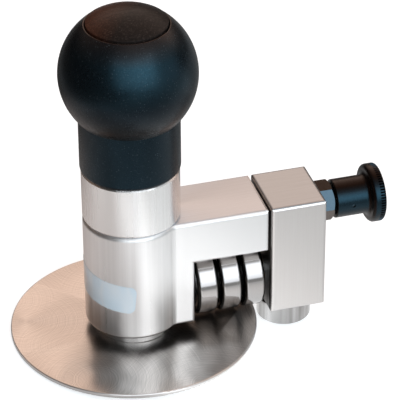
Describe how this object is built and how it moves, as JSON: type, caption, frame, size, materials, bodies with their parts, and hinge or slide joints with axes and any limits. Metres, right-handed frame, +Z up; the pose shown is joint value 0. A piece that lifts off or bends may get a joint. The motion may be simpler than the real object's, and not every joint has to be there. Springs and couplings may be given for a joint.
{
  "type": "sheet metal edge bender",
  "caption": "Hand-held sheet metal edge bender: ball grip on a round body with an arm, forming disc below, top rollers, and a swinging end block with edge roller and index plunger.",
  "frame": {"origin": "middle of the forming disc's underside", "axes": "+Z up the spindle axis to the grip, +X along the arm to the end block, -Y the side that faces the viewer"},
  "size_m": [0.1575, 0.1026, 0.154],
  "materials": {
    "milled_aluminium": "satin milled",
    "turned_aluminium": "satin turned",
    "grip_rubber": "matte soft touch",
    "grip_cap": "matte",
    "black_screw": "black oxide",
    "plain_steel": "plain",
    "ground_steel": "ground",
    "race_steel": "polished",
    "roller_steel": "polished",
    "edge_roller_steel": "turned",
    "disc_steel": "fine orbital brushing",
    "cage_polymer": "matte",
    "seal_rubber": "matte",
    "bronze": "sintered",
    "black_oxide": "blackened steel",
    "spring_wire": "drawn wire",
    "knob_plastic": "satin",
    "dark_pin": "black"
  },
  "bodies": {
    "frame": {"body_arm": "milled_aluminium", "handle_collar": "turned_aluminium", "collar_screws": "black_screw", "ball_grip": "grip_rubber", "grip_cap": "grip_cap", "grip_bolt": "black_screw", "grip_washer": "plain_steel", "spindle_outer_races": "race_steel", "spindle_circlip": "black_screw", "roller_axle": "ground_steel", "roller_inner_races": "race_steel", "roller_shims": "plain_steel", "index_socket": "ground_steel", "axle_end_washer": "plain_steel", "axle_end_screw": "black_screw"},
    "disc": {"forming_disc": "disc_steel", "disc_spindle": "ground_steel", "disc_screws": "black_screw", "spindle_inner_races": "race_steel", "spindle_sleeve": "plain_steel", "spindle_nut": "plain_steel"},
    "spindle_ball_sets": {"spindle_balls": "race_steel", "spindle_cages": "cage_polymer"},
    "top_roller_1": {"top_roller_1": "roller_steel", "roller_seals_1": "seal_rubber"},
    "roller_ball_set_1": {"roller_balls_1": "race_steel", "roller_cage_1": "cage_polymer"},
    "top_roller_2": {"top_roller_2": "roller_steel", "roller_seals_2": "seal_rubber"},
    "roller_ball_set_2": {"roller_balls_2": "race_steel", "roller_cage_2": "cage_polymer"},
    "top_roller_3": {"top_roller_3": "roller_steel", "roller_seals_3": "seal_rubber"},
    "roller_ball_set_3": {"roller_balls_3": "race_steel", "roller_cage_3": "cage_polymer"},
    "end_block": {"end_block": "milled_aluminium", "pivot_bush": "bronze", "plunger_body": "black_oxide", "plunger_spring": "spring_wire", "edge_roller_screw": "black_screw", "edge_inner_race": "race_steel", "edge_spacer": "plain_steel"},
    "edge_roller": {"edge_roller": "edge_roller_steel", "edge_outer_race": "race_steel", "edge_seals": "seal_rubber"},
    "edge_ball_set": {"edge_balls": "race_steel", "edge_cage": "cage_polymer"},
    "plunger": {"index_pin": "ground_steel", "pull_knob": "knob_plastic", "knob_cross_pin": "dark_pin"}
  },
  "joints": [
    {"name": "disc_spin", "type": "hinge", "parent": "frame", "child": "disc", "pos_m": [0, 0, 0.001], "axis": [0, 0, 1], "continuous": true},
    {"name": "spindle_balls_orbit", "type": "hinge", "parent": "frame", "child": "spindle_ball_sets", "pos_m": [0, 0, 0.0137], "axis": [0, 0, 1], "continuous": true},
    {"name": "top_roller_1_spin", "type": "hinge", "parent": "frame", "child": "top_roller_1", "pos_m": [0.0285, 0, 0.0185], "axis": [1, 0, 0], "continuous": true},
    {"name": "roller_balls_1_orbit", "type": "hinge", "parent": "frame", "child": "roller_ball_set_1", "pos_m": [0.0285, 0, 0.0185], "axis": [1, 0, 0], "continuous": true},
    {"name": "top_roller_2_spin", "type": "hinge", "parent": "frame", "child": "top_roller_2", "pos_m": [0.0385, 0, 0.0185], "axis": [1, 0, 0], "continuous": true},
    {"name": "roller_balls_2_orbit", "type": "hinge", "parent": "frame", "child": "roller_ball_set_2", "pos_m": [0.0385, 0, 0.0185], "axis": [1, 0, 0], "continuous": true},
    {"name": "top_roller_3_spin", "type": "hinge", "parent": "frame", "child": "top_roller_3", "pos_m": [0.0485, 0, 0.0185], "axis": [1, 0, 0], "continuous": true},
    {"name": "roller_balls_3_orbit", "type": "hinge", "parent": "frame", "child": "roller_ball_set_3", "pos_m": [0.0485, 0, 0.0185], "axis": [1, 0, 0], "continuous": true},
    {"name": "block_swing", "type": "hinge", "parent": "frame", "child": "end_block", "pos_m": [0.067, 0, 0.0185], "axis": [1, 0, 0], "range_deg": [-90, 90]},
    {"name": "edge_roller_spin", "type": "hinge", "parent": "end_block", "child": "edge_roller", "pos_m": [0.0655, 0, 0.0004], "axis": [0, 0, 1], "continuous": true},
    {"name": "edge_balls_orbit", "type": "hinge", "parent": "end_block", "child": "edge_ball_set", "pos_m": [0.0655, 0, 0.0004], "axis": [0, 0, 1], "continuous": true},
    {"name": "plunger_pull", "type": "slide", "parent": "end_block", "child": "plunger", "axis": [1, 0, 0], "range_m": [0, 0.006], "stiffness_N_per_m": 1500, "springref_m": -0.006, "deforming": ["plunger_spring"]}
  ],
  "couplings": [
    {"joint": "spindle_balls_orbit", "follows": "disc_spin", "ratio": 0.381},
    {"joint": "roller_balls_1_orbit", "follows": "top_roller_1_spin", "ratio": 0.619},
    {"joint": "roller_balls_2_orbit", "follows": "top_roller_2_spin", "ratio": 0.619},
    {"joint": "roller_balls_3_orbit", "follows": "top_roller_3_spin", "ratio": 0.619},
    {"joint": "edge_balls_orbit", "follows": "edge_roller_spin", "ratio": 0.64}
  ]
}
